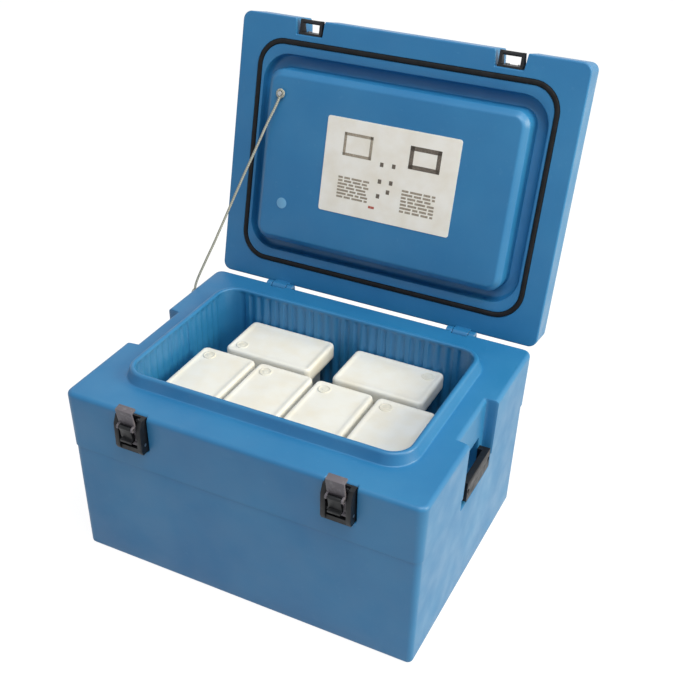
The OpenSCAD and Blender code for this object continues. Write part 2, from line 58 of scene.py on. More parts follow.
ROUND = np.radians([0, 15, 30, 45, 60, 75, 90])
SHARP_ABOVE = math.radians(38)
BEVEL_ABOVE = math.radians(35)

# Body, from the part's driving dimensions
HALF_X = 355 * MM
HALF_Y = 268.5 * MM
RIM_Z = 366 * MM
LIP_TOP = RIM_Z + 22 * MM
CORNER_R = 18 * MM
LINE_Z = 246 * MM
LINE_STEP = 2 * MM
BAND_DRAFT = 2.5 * MM
EDGE_R = 8 * MM
CAVITY_X = 276 * MM
CAVITY_Y = 178 * MM
CAVITY_R = 36 * MM
FLOOR_Z = 98 * MM
LIP_FOOT = 17 * MM
BASE_IN = 90 * MM
FLUTE_PITCH = 20 * MM
FLUTE_DEEP = 3 * MM
FLUTE_HALF = 5.2 * MM

# Lid, with its levels as they are when it is closed
HINGE = next(j for j in frame["joints"] if j["name"] == "lid_hinge")
AXIS_Y, AXIS_Z = HINGE["pos_m"][1:]
OPEN_ANGLE = math.radians(HINGE["range_deg"][1])
FLANGE_Z = RIM_Z + 2.5 * MM
LID_TOP = FLANGE_Z + 75 * MM
PLUG_Z = RIM_Z - 30 * MM
PLUG_X = CAVITY_X - 6 * MM
PLUG_Y = CAVITY_Y - 6 * MM
PLUG_R = CAVITY_R - 6 * MM
PLUG_BEVEL = 12 * MM
CHANNEL_OUT = LIP_FOOT + 3.5 * MM
CHANNEL_TOP = LIP_TOP + 4 * MM
SEAL_IN = 47 * MM
SEAL_HALF = 5.1 * MM
SEAL_R = 52 * MM
SEAL_LIP = 0.8 * MM
SEAL_ROOF = FLANGE_Z + 5 * MM
CROWN = 12 * MM
CROWN_IN = 15 * MM
LID_DRAFT = 2 * MM
LID_EDGE = 3 * MM

# Features on the walls: half widths, depths and levels, and the width over which their edges fade
SIDE_X = 205 * MM
RECESS_HALF = 72 * MM
RECESS_DEEP = 22 * MM
RECESS_Z = 218 * MM
FINGER_HALF = 46 * MM
FINGER_DEEP = 24 * MM
FINGER_TOP = 294 * MM
SEAT_HALF = 29 * MM
SEAT_DEEP = 6.5 * MM
SEAT_Z = 292 * MM
NOTCH_HALF = 30 * MM
NOTCH_DEEP = 30 * MM
KNUCKLE_R = 11 * MM
KNUCKLE_HALF = 16 * MM
EAR_IN = 17 * MM
EAR_OUT = 30 * MM
TURN_GAP = 2.5 * MM
POCKET_DEEP = HALF_Y - (AXIS_Y - KNUCKLE_R - TURN_GAP)
POCKET_Z = AXIS_Z - KNUCKLE_R - TURN_GAP
SOFT = 4 * MM

# Rows inside the recesses: how far from the middle they keep their stations, and their corner radius
KEPT_X = 245 * MM
KEPT_Y = 100 * MM
SHELF_R = 8 * MM

# Flat water pack
PACK_LONG = 190 * MM
PACK_WIDE = 120 * MM
PACK_THICK = 34 * MM
PACK_LEAN = 0.35 * MM
CAP_RIBS = 30
CAP_RIB_HIGH = 0.35 * MM

# Stay cord, the same points as in the part's source
CORD_R = 2.5 * MM
STRAND = 3 * MM
STRANDS_ROUND = 5
POST_R = 4.5 * MM
LID_POST = [-236 * MM, -126 * MM, PLUG_Z - 5 * MM]
CORD_ROUTE = np.array([
    [-361, 180, 350], [-360.6, 181, 358], [-360, 183, 366], [-357, 186.5, 378],
    [-352, 190, 392], [-346, 197.4, 410], [-340, 205, 428], [-331, 216, 454], [-322.5, 227, 481],
    [-314, 238, 508], [-305.5, 249, 535], [-297, 260, 562], [-288.5, 271, 589], [-279.5, 282, 616],
    [-271, 293, 642], [-262, 304, 669], [-253.5, 315.5, 696], [-243, 328.5, 725],
    [-236, 337.7, 747.1]]) * MM

# Card in the lid: its size, and how far its middle lies from the lid's
CARD_W = 280 * MM
CARD_H = 187 * MM
CARD_T = 1 * MM
CARD_R = 5
CARD_X = 12 * MM
CARD_Y = -9 * MM
INK_HIGH = 0.15 * MM

# Lighting: the world's share that lights the object, and the ground's own glow and its share
WORLD_LIGHT = 0.26
GROUND_GLOW = 1.2
GROUND_SHARE = 0.78

# Camera, solved from the corners of the body and the lid in the 675 pixel photograph
CAMERA_AT = (0.7819, -1.4912, 1.4723)
CAMERA_YAW = math.radians(26.70)
CAMERA_PITCH = math.radians(34.84)
CAMERA_ROLL = math.radians(0.71)
FOCAL_PX = 1076
CENTRE_OFF_PX = (-16.9, 61.8)
PHOTO_PX = 675
SENSOR = 36


def place_camera():
    """Camera whose view runs along yaw and pitch, turned about that line by the roll."""
    forward = np.array([-math.sin(CAMERA_YAW) * math.cos(CAMERA_PITCH),
                        math.cos(CAMERA_YAW) * math.cos(CAMERA_PITCH), -math.sin(CAMERA_PITCH)])
    right = np.array([math.cos(CAMERA_YAW), math.sin(CAMERA_YAW), 0])
    up = np.cross(right, forward)
    cos_roll, sin_roll = math.cos(CAMERA_ROLL), math.sin(CAMERA_ROLL)
    axes = np.array([cos_roll * right + sin_roll * up, -sin_roll * right + cos_roll * up, -forward])
    data = bpy.data.cameras.new("camera")
    data.sensor_width = SENSOR
    data.lens = SENSOR * FOCAL_PX / PHOTO_PX
    data.shift_x = -CENTRE_OFF_PX[0] / PHOTO_PX
    data.shift_y = CENTRE_OFF_PX[1] / PHOTO_PX
    data.clip_end = 100
    camera = bpy.data.objects.new("camera", data)
    bpy.context.scene.collection.objects.link(camera)
    matrix = Matrix(axes.T.tolist()).to_4x4()
    matrix.translation = CAMERA_AT
    camera.matrix_world = matrix
    bpy.context.scene.camera = camera


place_camera()


def linear(colour):
    """sRGB hex to linear red, green, blue and alpha."""
    parts = [int(colour[i:i + 2], 16) / 255 for i in (1, 3, 5)]
    return [c / 12.92 if c <= 0.04045 else ((c + 0.055) / 1.055) ** 2.4 for c in parts] + [1]


def add_node(tree, kind, settings=None, **inputs):
    """Adds one shader node. settings are its own properties, inputs are values or (node, output) links."""
    made = tree.nodes.new(kind)
    for key, value in (settings or {}).items():
        setattr(made, key, value)
    for key, value in inputs.items():
        socket = made.inputs[int(key[1:])] if key[0] == "_" and key[1:].isdigit() else made.inputs[
            key.replace("_", " ")]
        if isinstance(value, tuple):
            tree.links.new(value[0].outputs[value[1]], socket)
        else:
            socket.default_value = value
    return made


def per_mm(size):
    """Noise or wave scale for a pattern whose repeat is size millimetres."""
    return 1 / (size * MM)


def new_material(name):
    """Material with its node tree, its shader and the link to Object coordinates."""
    material = bpy.data.materials.new(name)
    material.use_nodes = True
    tree = material.node_tree
    shader = tree.nodes["Principled BSDF"]
    place = add_node(tree, "ShaderNodeTexCoord")
    return material, tree, shader, (place, "Object")


def mottle(tree, place, size, detail, low, high, first, second):
    """Two colours mixed by noise of the given size, between the noise levels low and high."""
    noise = add_node(tree, "ShaderNodeTexNoise", Vector=place, Scale=per_mm(size), Detail=detail)
    ramp = add_node(tree, "ShaderNodeMapRange", Value=(noise, "Fac"), From_Min=low, From_Max=high)
    return add_node(tree, "ShaderNodeMix", {"data_type": "RGBA"}, _0=(ramp, "Result"),
                    _6=linear(first), _7=linear(second))


def uneven(tree, shader, place, size, low, high):
    """Roughness that wanders between low and high over patches of the given size."""
    noise = add_node(tree, "ShaderNodeTexNoise", Vector=place, Scale=per_mm(size), Detail=4.0)
    level = add_node(tree, "ShaderNodeMapRange", Value=(noise, "Fac"), From_Min=0.3, From_Max=0.7,
                     To_Min=low, To_Max=high)
    tree.links.new(level.outputs["Result"], shader.inputs["Roughness"])


def bumps(tree, shader, layers):
    """Bump from height layers, each one (node, output, height in mm, strength), stacked."""
    normal = None
    for source, output, height, strength in layers:
        links = {"Normal": (normal, "Normal")} if normal else {}
        normal = add_node(tree, "ShaderNodeBump", Height=(source, output), Distance=height * MM,
                          Strength=strength, **links)
    tree.links.new(normal.outputs["Normal"], shader.inputs["Normal"])


# Rotomoulded linear polyethylene: satin, with a fine grain off the mould, slow waves and cloudy patches
def rotomoulded(name, main, pale, worn):
    material, tree, shader, place = new_material(name)
    cloud = mottle(tree, place, 160, 5.0, 0.35, 0.68, main, pale)
    scuff = add_node(tree, "ShaderNodeTexNoise", Vector=place, Scale=per_mm(14), Detail=8.0, Roughness=0.7)
    spots = add_node(tree, "ShaderNodeMapRange", Value=(scuff, "Fac"), From_Min=0.60, From_Max=0.74,
                     To_Max=0.18)
    tint = add_node(tree, "ShaderNodeMix", {"data_type": "RGBA"}, _0=(spots, "Result"),
                    _6=(cloud, 2), _7=linear(worn))
    tree.links.new(tint.outputs[2], shader.inputs["Base Color"])
    uneven(tree, shader, place, 60, 0.34, 0.50)
    wave = add_node(tree, "ShaderNodeTexNoise", Vector=place, Scale=per_mm(55), Detail=1.0)
    grain = add_node(tree, "ShaderNodeTexNoise", Vector=place, Scale=per_mm(1.6), Detail=3.0)
    bumps(tree, shader, [(wave, "Fac", 0.9, 0.35), (grain, "Fac", 0.08, 0.35)])
    shader.inputs["IOR"].default_value = 1.51
    return material


# Blow-moulded polyethylene of the water packs: waxy, milky, faintly yellowed and handled
def blow_moulded(name, main, tinted, low, high):
    material, tree, shader, place = new_material(name)
    cloud = mottle(tree, place, 45, 4.0, 0.40, 0.72, main, tinted)
    tree.links.new(cloud.outputs[2], shader.inputs["Base Color"])
    uneven(tree, shader, place, 30, low, high)
    dents = add_node(tree, "ShaderNodeTexNoise", Vector=place, Scale=per_mm(28), Detail=2.0)
    grain = add_node(tree, "ShaderNodeTexNoise", Vector=place, Scale=per_mm(1.2), Detail=2.0)
    bumps(tree, shader, [(dents, "Fac", 1.2, 0.4), (grain, "Fac", 0.05, 0.3)])
    shader.inputs["IOR"].default_value = 1.51
    return material


# Injection-moulded glass-filled nylon: near black, fine spark-eroded texture, rubbed a little lighter
def moulded_nylon(name, main, rubbed):
    material, tree, shader, place = new_material(name)
    cloud = mottle(tree, place, 6, 6.0, 0.52, 0.80, main, rubbed)
    tree.links.new(cloud.outputs[2], shader.inputs["Base Color"])
    uneven(tree, shader, place, 9, 0.38, 0.56)
    grain = add_node(tree, "ShaderNodeTexNoise", Vector=place, Scale=per_mm(0.9), Detail=2.0)
    bumps(tree, shader, [(grain, "Fac", 0.06, 0.5)])
    shader.inputs["IOR"].default_value = 1.53
    shader.inputs["Specular IOR Level"].default_value = 0.32
    return material


# Bright zinc-plated steel of pins and screws: fine drawn lines across, small stains
def plated_steel(name):
    material, tree, shader, place = new_material(name)
    stain = mottle(tree, place, 5, 5.0, 0.45, 0.75, "#B4B8BC", "#8C9094")
    tree.links.new(stain.outputs[2], shader.inputs["Base Color"])
    lines = add_node(tree, "ShaderNodeTexNoise", Vector=place, Scale=per_mm(0.6), Detail=2.0)
    uneven(tree, shader, place, 4, 0.28, 0.42)
    bumps(tree, shader, [(lines, "Fac", 0.02, 0.3)])
    shader.inputs["Metallic"].default_value = 1.0
    return material


# EPDM foam rubber of the seal: matt black skin with fine closed pores
def seal_rubber(name):
    material, tree, shader, place = new_material(name)
    cloud = mottle(tree, place, 20, 4.0, 0.4, 0.7, "#08090B", "#121317")
    tree.links.new(cloud.outputs[2], shader.inputs["Base Color"])
    pores = add_node(tree, "ShaderNodeTexVoronoi", Vector=place, Scale=per_mm(0.9))
    uneven(tree, shader, place, 12, 0.60, 0.78)
    bumps(tree, shader, [(pores, "Distance", 0.08, 0.5)])
    shader.inputs["Specular IOR Level"].default_value = 0.25
    return material


# Laminated card: off-white paper under a thin clear film that lies slightly uneven
def laminated_card(name, main, aged):
    material, tree, shader, place = new_material(name)
    cloud = mottle(tree, place, 38, 4.0, 0.35, 0.70, main, aged)
    tree.links.new(cloud.outputs[2], shader.inputs["Base Color"])
    ripple = add_node(tree, "ShaderNodeTexNoise", Vector=place, Scale=per_mm(40), Detail=1.0)
    fibre = add_node(tree, "ShaderNodeTexNoise", Vector=place, Scale=per_mm(0.8), Detail=3.0)
    uneven(tree, shader, place, 25, 0.30, 0.42)
    bumps(tree, shader, [(ripple, "Fac", 0.4, 0.3), (fibre, "Fac", 0.03, 0.3)])
    return material


# Printing ink under the film: thin and slightly patchy
def print_ink(name, main, thin):
    material, tree, shader, place = new_material(name)
    cloud = mottle(tree, place, 3, 4.0, 0.45, 0.75, main, thin)
    tree.links.new(cloud.outputs[2], shader.inputs["Base Color"])
    uneven(tree, shader, place, 25, 0.32, 0.45)
    return material


# Braided polyester cord: strands cross every 3 mm along it, drawn coarse enough to show
def braided_cord(name):
    material, tree, shader, place = new_material(name)
    follow = add_node(tree, "ShaderNodeUVMap", {"uv_map": "along"})
    turn = add_node(tree, "ShaderNodeMapping", Vector=(follow, "UV"), Rotation=[0, 0, math.radians(45)])
    braid = add_node(tree, "ShaderNodeTexChecker", Vector=(turn, "Vector"), Scale=1.0)
    tint = add_node(tree, "ShaderNodeMix", {"data_type": "RGBA"}, _0=(braid, "Fac"),
                    _6=linear("#B4B4A6"), _7=linear("#8D8F86"))
    tree.links.new(tint.outputs[2], shader.inputs["Base Color"])
    fuzz = add_node(tree, "ShaderNodeTexNoise", Vector=place, Scale=per_mm(0.5), Detail=3.0)
    uneven(tree, shader, place, 8, 0.70, 0.85)
    bumps(tree, shader, [(braid, "Fac", 0.25, 0.6), (fuzz, "Fac", 0.08, 0.4)])
    shader.inputs["Sheen Weight"].default_value = 0.2
    return material


# Rigid polyurethane foam, seen only where a skin is open
def rigid_foam(name):
    material, tree, shader, place = new_material(name)
    cloud = mottle(tree, place, 12, 5.0, 0.4, 0.7, "#E3D79C", "#D2C382")
    tree.links.new(cloud.outputs[2], shader.inputs["Base Color"])
    cells = add_node(tree, "ShaderNodeTexVoronoi", Vector=place, Scale=per_mm(2.0))
    uneven(tree, shader, place, 10, 0.8, 0.95)
    bumps(tree, shader, [(cells, "Distance", 0.4, 0.6)])
    return material


BLUE = rotomoulded("blue_rotomoulded_polyethylene", "#2270A4", "#2D79AB", "#5E97BD")
PLUG_BLUE = rotomoulded("light_blue_polyethylene", "#6BA6CF", "#7DB3D8", "#A9CDE4")
PACK_WHITE = blow_moulded("white_blow_moulded_polyethylene", "#E6E6E1", "#E3DFD3", 0.36, 0.50)
CAP_WHITE = blow_moulded("white_cap_polypropylene", "#DEDED6", "#D8D2C2", 0.30, 0.42)
BLACK = moulded_nylon("black_moulded_nylon", "#0B0D11", "#1B1D22")
GREY = moulded_nylon("grey_moulded_nylon", "#646067", "#7E7A80")
STEEL = plated_steel("zinc_plated_steel")
RUBBER = seal_rubber("black_foam_rubber")
CARD = laminated_card("laminated_card", "#F5F2EC", "#EDE7DC")
INK_GREY = print_ink("grey_brown_ink", "#94897A", "#B4AA99")
INK_DARK = print_ink("dark_ink", "#5A5148", "#7C7266")
INK_RED = print_ink("red_ink", "#A8483C", "#C77C6C")
CORD = braided_cord("braided_polyester")
FOAM = rigid_foam("rigid_polyurethane_foam")
BODY_OF = {n: b for b, names in record["behaviour"]["bodies"].items() for n in names}


def ring_stations(x_spots, y_spots, corner_steps):
    """Stations round a rounded rectangle, against the clock from the right side's front end. Each has
    the fraction of the straight sides that its corner centre lies at, and its outward direction."""
    turn = np.linspace(0, 90, corner_steps + 2)[1:-1]
    parts = []
    for quarter, spots in enumerate((y_spots, x_spots, y_spots, x_spots)):
        start = math.radians(90 * quarter)
        side = np.array([math.cos(start), math.sin(start)])
        along = np.array([-math.sin(start), math.cos(start)])
        flat = side + spots[:, None] * along
        parts.append(np.hstack([flat, np.tile(side, (len(spots), 1))]))
        angle = start + np.radians(turn)
        corner = np.tile(side + along, (len(turn), 1))
        parts.append(np.hstack([corner, np.cos(angle)[:, None], np.sin(angle)[:, None]]))
    return np.vstack(parts).T


def spots(count, reach, edges):
    """Fractions from -1 to 1: evenly spaced, with close ones round the given distances from the middle."""
    near = np.array([e + d for e in edges for d in np.linspace(-0.55, 0.55, 7) * SOFT]) / reach
    near = near[np.abs(near) < 0.995]
    return np.unique(np.round(np.concatenate([np.linspace(-1, 1, count), near]), 5))


def ring(stations, half_x, half_y, radius, z, push=0):
    """One row of points: corner centre plus radius along the direction, less the push inwards."""
    cx, cy, nx, ny = stations
    x = cx * (half_x - radius) + nx * (radius - push)
    y = cy * (half_y - radius) + ny * (radius - push)
    return np.stack([x, y, np.full_like(x, z)], axis=1)


def shelf(stations, depth, z):
    """One row the given depth inside the outline, whose stations stay square to the walls beside a recess:
    along each side they keep their distance from the middle up to KEPT, and close up beyond it."""
    cx, cy, nx, ny = stations
    along = []
    for fraction, half, kept in ((cx, HALF_X, KEPT_X), (cy, HALF_Y, KEPT_Y)):
        before = [0, kept, half - CORNER_R]
        after = [0, kept, half - depth - SHELF_R]
        along.append(np.sign(fraction) * np.interp(np.abs(fraction) * (half - CORNER_R), before, after))
    return np.stack([along[0] + nx * SHELF_R, along[1] + ny * SHELF_R, np.full_like(cx, z)], axis=1)


def step(distance, soft=SOFT):
    """0 below -soft / 2, 1 above soft / 2, and a smooth cubic between."""
    t = np.clip(distance / soft + 0.5, 0, 1)
    return t * t * (3 - 2 * t)


def closed_skin(name, rows, low_pole, high_pole):
    """Surface through the rows of a closed ring, shut by a fan to one point at each end."""
    rows = np.array(rows)
    count, around = rows.shape[:2]
    points = np.vstack([rows.reshape(-1, 3), [low_pole], [high_pole]])
    here = np.arange(around)
    after = (here + 1) % around
    quads = [np.stack([i * around + here, i * around + after, (i + 1) * around + after,
                       (i + 1) * around + here], axis=1) for i in range(count - 1)]
    low_fan = np.stack([np.full(around, count * around), after, here], axis=1)
    last = (count - 1) * around
    high_fan = np.stack([np.full(around, count * around + 1), last + here, last + after], axis=1)
    return mesh_object(name, points, np.vstack(quads).tolist() + low_fan.tolist() + high_fan.tolist())


def closed_loop(name, rows):
    """Surface through the rows of a closed ring, with the last row joined to the first."""
    rows = np.array(rows)
    count, around = rows.shape[:2]
    here = np.arange(around)
    after = (here + 1) % around
    quads = [np.stack([i * around + here, i * around + after, (i + 1) % count * around + after,
                       (i + 1) % count * around + here], axis=1) for i in range(count)]
    return mesh_object(name, rows.reshape(-1, 3), np.vstack(quads).tolist())


def mesh_object(name, points, faces):
    """Mesh object at the origin, smooth but for its sharp edges, with its faces turned outwards."""
    mesh = bpy.data.meshes.new(name)
    mesh.from_pydata(np.asarray(points).tolist(), [], faces)
    work = bmesh.new()
    work.from_mesh(mesh)
    bmesh.ops.recalc_face_normals(work, faces=work.faces)
    work.to_mesh(mesh)
    work.free()
    mesh.polygons.foreach_set("use_smooth", np.ones(len(mesh.polygons), bool))
    mesh.set_sharp_from_angle(angle=SHARP_ABOVE)
    piece = bpy.data.objects.new(name, mesh)
    bpy.context.scene.collection.objects.link(piece)
    return piece


def prism(name, profile, starts, ends, axis=0):
    """Profile carried straight from each start to each end along one axis, with flat ends."""
    profile = np.asarray(profile, float)
    count = len(profile)
    others = [i for i in range(3) if i != axis]
    points, faces = [], []
    for start, end in zip(starts, ends):
        base = sum(len(p) for p in points)
        for level in (start, end):
            block = np.zeros((count, 3))
            block[:, others] = profile
            block[:, axis] = level
            points.append(block)
        faces += [[base + i, base + (i + 1) % count, base + count + (i + 1) % count, base + count + i]
                  for i in range(count)]
        faces += [list(range(base + count - 1, base - 1, -1)), list(range(base + count, base + 2 * count))]
    return mesh_object(name, np.vstack(points), faces)


def rounded(piece, width):
    """Rounds every edge sharper than the bevel angle, and keeps the flats flat in the shading."""
    bevel = piece.modifiers.new("edges", "BEVEL")
    bevel.width = width
    bevel.segments = 3
    bevel.limit_method = "ANGLE"
    bevel.angle_limit = BEVEL_ABOVE
    bevel.harden_normals = True
    return piece


def finish_piece(piece, material, body, slot, *nodes):
    """Gives a piece its material and the body it rides on, and hides the nodes it takes the place of. The slot is
    not used.
    """
    piece.data.materials.clear()
    piece.data.materials.append(material)
    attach(piece, body)
    if nodes:
        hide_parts(*nodes)


def opened(points):
    """Points of the closed lid, turned about the hinge axis to where the open lid is."""
    points = np.asarray(points, float)
    y, z = points[..., 1] - AXIS_Y, points[..., 2] - AXIS_Z
    c, s = math.cos(OPEN_ANGLE), -math.sin(OPEN_ANGLE)
    return np.stack([points[..., 0], AXIS_Y + y * c - z * s, AXIS_Z + y * s + z * c], axis=-1)


# Stay cord: a tube of rings across the route, whose ends are tied round the two anchor posts
def tube(name, route, radius, sides):
    """Rings of the given radius across each stretch of the route, with a UV map in strand widths."""
    route = np.asarray(route)
    ahead = np.gradient(route, axis=0)
    ahead /= np.linalg.norm(ahead, axis=1)[:, None]
    across = np.cross(ahead, [0.0, -1.0, 0.2])
    across /= np.linalg.norm(across, axis=1)[:, None]
    over = np.cross(ahead, across)
    angle = np.linspace(0, 2 * math.pi, sides, endpoint=False)
    rows = route[:, None] + radius * (np.cos(angle)[None, :, None] * across[:, None]
                                      + np.sin(angle)[None, :, None] * over[:, None])
    piece = closed_skin(name, rows, route[0], route[-1])
    length = np.concatenate([[0], np.cumsum(np.linalg.norm(np.diff(route, axis=0), axis=1))])
    strand_map(piece, np.append(np.repeat(length, sides), [0, length[-1]]),
               np.append(np.tile(np.arange(sides) / sides, len(route)), [0, 0]))
    return piece


def strand_map(piece, length, share):
    """UV map named along: at each vertex the length along the cord in strands, and the share round it."""
    index = np.empty(len(piece.data.loops), int)
    piece.data.loops.foreach_get("vertex_index", index)
    layer = piece.data.uv_layers.new(name="along")
    strands = np.stack([length[index] / STRAND, share[index] * STRANDS_ROUND], axis=1)
    layer.data.foreach_set("uv", strands.ravel())


def smooth_route(points, between):
    """Catmull-Rom curve through the points, with that many steps between each two."""
    p = np.vstack([2 * points[0] - points[1], points, 2 * points[-1] - points[-2]])
    t = np.linspace(0, 1, between, endpoint=False)[:, None]
    runs = [0.5 * (2 * b + (c - a) * t + (2 * a - 5 * b + 4 * c - d) * t ** 2
                   + (3 * b - a - 3 * c + d) * t ** 3)
            for a, b, c, d in zip(p[:-3], p[1:-2], p[2:-1], p[3:])]
    return np.vstack(runs + [points[-1:]])


def wound_loop(name, centre, along):
    """One turn of cord round a post: a circle of the cord's section, carried round the post's direction."""
    along = np.asarray(along, float) / np.linalg.norm(along)
    side = np.cross(along, [1.0, 0.3, 0.2])
    side /= np.linalg.norm(side)
    over = np.cross(along, side)
    around = np.linspace(0, 2 * math.pi, 40, endpoint=False)
    section = np.linspace(0, 2 * math.pi, 12, endpoint=False)
    outwards = np.cos(around)[:, None] * side + np.sin(around)[:, None] * over
    reach = POST_R + CORD_R
    rows = [centre + outwards * (reach + CORD_R * math.cos(a)) + along * CORD_R * math.sin(a)
            for a in section]
    loop = closed_loop(name, rows)
    strand_map(loop, np.tile(around * reach, len(section)), np.repeat(section / (2 * math.pi), len(around)))
    return loop


def stay_cord():
    """The cord along its route, whose upper half runs along the open lid."""
    route = smooth_route(CORD_ROUTE, 3)
    cord = tube("stay_cord_braided", route, CORD_R, 16)
    cord.data.materials.append(CORD)
    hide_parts("stay_cord")
    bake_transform(cord)


stay_cord()


def wall_draft(z):
    """How far the wall stands in from the rim's outline: each band leans in towards its own foot."""
    low = LINE_STEP + BAND_DRAFT * (2 - (z - EDGE_R) / (LINE_Z - EDGE_R))
    high = BAND_DRAFT * (1 - (z - LINE_Z) / (RIM_Z - EDGE_R - LINE_Z))
    return low + (high - low) * step(z - LINE_Z, 1.5 * MM)


def wall_push(stations, z, draft):
    """Depth of the hand recesses in the sides, the latch seats in front and the knuckle pockets behind."""
    cx, cy, nx, ny = stations
    x, y = cx * (HALF_X - CORNER_R), cy * (HALF_Y - CORNER_R)
    side, away = np.abs(nx) > 0.999, np.abs(np.abs(x) - SIDE_X)
    recess = side * step(RECESS_HALF - np.abs(y)) * step(z - RECESS_Z, 6 * MM)
    finger = side * step(FINGER_HALF - np.abs(y)) * step(z - RECESS_Z, 6 * MM) * step(FINGER_TOP - z)
    seat = (ny < -0.999) * step(SEAT_HALF - away) * step(z - SEAT_Z)
    pocket = (ny > 0.999) * step(EAR_IN - away) * step(z - POCKET_Z)
    return (draft + recess * (RECESS_DEEP - draft) + finger * FINGER_DEEP + seat * (SEAT_DEEP - draft)
            + pocket * (POCKET_DEEP - draft))


def flutes(stations, z):
    """Half-round upright grooves in the cavity wall, one every pitch, fading out under the crest."""
    cx, cy, nx, ny = stations
    run = np.where(np.abs(nx) > 0.999, cy * (CAVITY_Y - CAVITY_R), cx * (CAVITY_X - CAVITY_R))
    flat = (np.abs(nx) > 0.999) | (np.abs(ny) > 0.999)
    away = np.abs(run - np.round(run / FLUTE_PITCH) * FLUTE_PITCH)
    groove = np.sqrt(np.clip(1 - (away / FLUTE_HALF) ** 2, 0, 1))
    fade = step(LIP_TOP - 8 * MM - z, 8 * MM) * step(z - FLOOR_Z - 16 * MM, 12 * MM)
    return np.where(flat, -FLUTE_DEEP * groove * fade, 0)


def body_skin():
    """Outer wall, rim, lip, fluted cavity wall and floor, as one surface of rounded-rectangle rows."""
    y_spots = spots(99, HALF_Y - CORNER_R, [s * e for s in (-1, 1) for e in (RECESS_HALF, FINGER_HALF)])
    x_spots = spots(175, HALF_X - CORNER_R, [s * SIDE_X + e * w for s in (-1, 1) for e in (-1, 1)
                                             for w in (SEAT_HALF, EAR_IN)])
    stations = ring_stations(x_spots, y_spots, 7)

    def outer(z, edge=0):
        """Row of the outer wall, with its draft and recesses."""
        draft = wall_draft(z)
        push = wall_push(stations, z, draft) + edge
        return ring(stations, HALF_X, HALF_Y, CORNER_R, z, push)

    def around_cavity(out, z, groove=0):
        """Row that stands the given distance outside the cavity's outline."""
        return ring(stations, CAVITY_X + out, CAVITY_Y + out, max(CAVITY_R + out, 2 * MM), z, groove)

    rows = [ring(stations, HALF_X - BASE_IN, HALF_Y - BASE_IN, CORNER_R, 0)]
    for angle in ROUND:
        row = outer(EDGE_R, EDGE_R * (1 - math.sin(angle)))
        row[:, 2] = EDGE_R * (1 - math.cos(angle))
        rows.append(row)
    levels = np.concatenate([
        np.linspace(EDGE_R, RECESS_Z - 8 * MM, 7)[1:], RECESS_Z + np.linspace(-3, 3, 7) * MM,
        LINE_Z + np.array([-12, -2, -1, -0.75, -0.4, 0, 0.4, 0.75, 1, 2, 12]) * MM, [275 * MM],
        SEAT_Z + np.linspace(-2, 4, 9) * MM, [302 * MM, 320 * MM], POCKET_Z + np.linspace(-2, 2, 7) * MM,
        [352 * MM, RIM_Z - EDGE_R]])
    rows += [outer(z) for z in np.unique(np.round(levels, 5))]
    for angle in ROUND[1:]:
        row = outer(RIM_Z - EDGE_R, EDGE_R * (1 - math.cos(angle)))
        row[:, 2] = RIM_Z - EDGE_R * (1 - math.sin(angle))
        rows.append(row)
    rim_edge, rim_shelf = rows[-1], shelf(stations, RECESS_DEEP + EDGE_R + 3 * MM, RIM_Z)
    lip_foot = around_cavity(LIP_FOOT + 1.5 * MM, RIM_Z)
    rows += [rim_edge + (rim_shelf - rim_edge) * t for t in (0.03, 0.5, 1)]
    rows += [rim_shelf + (lip_foot - rim_shelf) * t for t in (0.5, 0.95, 1)]
    for out, up in ((17, 0.5), (16, 2), (10.8, 17), (10, 19), (8.6, 20.8), (6.5, 21.8), (5, 22),
                    (2.6, 21.8), (1.1, 21), (0.3, 19.8), (0, 18)):
        rows.append(around_cavity(out * MM, RIM_Z + up * MM))
    cavity_levels = [np.linspace(382, 370, 7), np.linspace(350, 130, 6), [122, 114, 110, 106, 102]]
    for z in np.concatenate(cavity_levels) * MM:
        floor_in = max(0, (108 * MM - z) / 2)
        rows.append(around_cavity(-floor_in, z, flutes(stations, z)))
    rows += [around_cavity(-6 * MM, 99 * MM), around_cavity(-12 * MM, FLOOR_Z),
             ring(stations, 90 * MM, 60 * MM, 20 * MM, FLOOR_Z)]
    skin = closed_skin("body_skin", rows, [0, 0, 0], [0, 0, FLOOR_Z])
    finish_piece(skin, BLUE, "body", "blue_shell", "body_shell")


def arc_points(centre, radius, start, end, count):
    """Points of a circle's arc, angles in degrees."""
    angle = np.radians(np.linspace(start, end, count))
    return np.stack([centre[0] + radius * np.cos(angle), centre[1] + radius * np.sin(angle)], axis=1)


def hinge_ears():
    """Rounded ears on the rear wall: a half circle round the pin on a foot that runs into the wall."""
    head = arc_points((AXIS_Y, AXIS_Z), KNUCKLE_R, 0, 180, 15)
    foot = [[AXIS_Y - KNUCKLE_R, AXIS_Z - 34 * MM], [AXIS_Y + KNUCKLE_R, AXIS_Z - 8 * MM]]
    profile = np.vstack([head, foot])
    ends = [s * SIDE_X + e * EAR_OUT for s in (-1, 1) for e in (-1, 1)]
    inner = [s * SIDE_X + e * EAR_IN for s in (-1, 1) for e in (-1, 1)]
    ears = rounded(prism("hinge_ears", profile, np.minimum(ends, inner), np.maximum(ends, inner)), 1.2 * MM)
    finish_piece(ears, BLUE, "body", "blue_shell")


